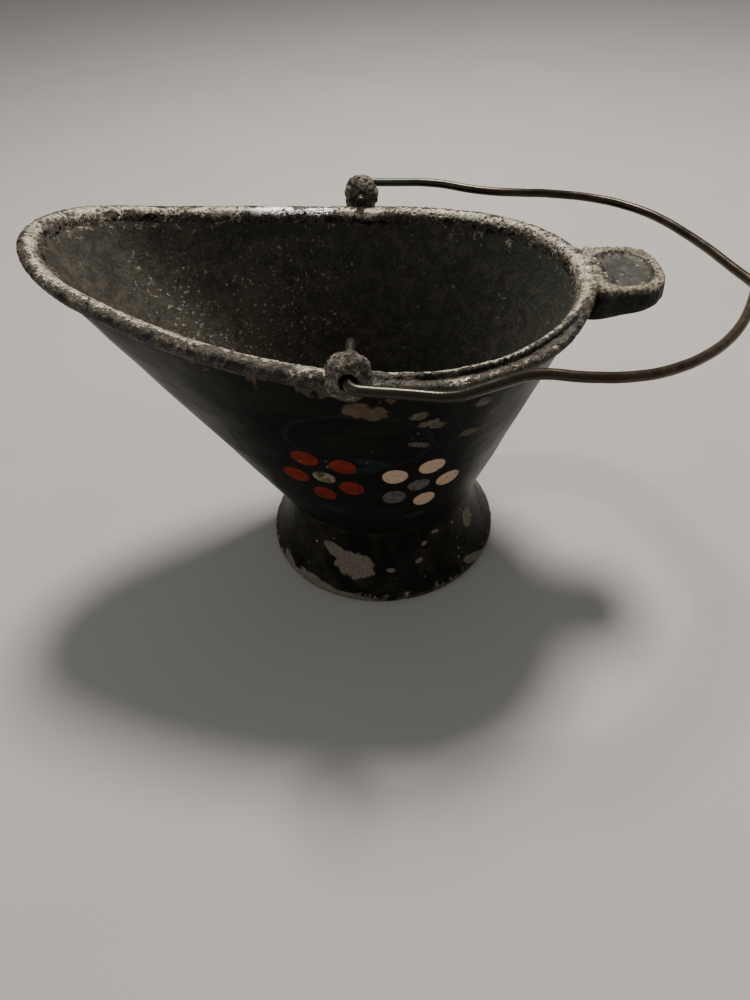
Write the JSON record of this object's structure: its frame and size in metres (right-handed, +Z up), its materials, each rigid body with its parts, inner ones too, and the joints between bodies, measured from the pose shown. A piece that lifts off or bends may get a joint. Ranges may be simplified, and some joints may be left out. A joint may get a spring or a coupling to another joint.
{
  "type": "miniature coal scuttle",
  "caption": "Small footed coal scuttle: flared oval hopper drawn out to a pouring spout, rolled rim bead, dished rear thumb grip and a wire bail that swings in two ball ears.",
  "frame": {"origin": "centre of the foot's resting face", "axes": "+Z up, -X towards the pouring spout, +X towards the thumb grip, -Y the left side as seen from behind the grip"},
  "size_m": [0.1218, 0.0775, 0.0691],
  "materials": {
    "black_paint": "old black paint, semi-gloss outside and dull inside, chipped to grey metal, with small painted flowers on the left flank",
    "worn_metal": "paint worn away to pitted grey-khaki metal with black left in the pits",
    "bail_wire": "dark browned steel wire with glossy highlights"
  },
  "bodies": {
    "scuttle": {"hopper_shell": "black_paint", "hopper_floor": "black_paint", "pedestal_foot": "black_paint", "rim_bead": "worn_metal", "rear_grip": "worn_metal", "bail_ear_left": "worn_metal", "bail_ear_right": "worn_metal"},
    "bail": {"bail_wire": "bail_wire"}
  },
  "joints": [
    {"name": "bail_swing", "type": "hinge", "parent": "scuttle", "child": "bail", "pos_m": [-0.0021, 0, 0.05987], "axis": [0, -1, 0], "range_deg": [0, 190]}
  ]
}
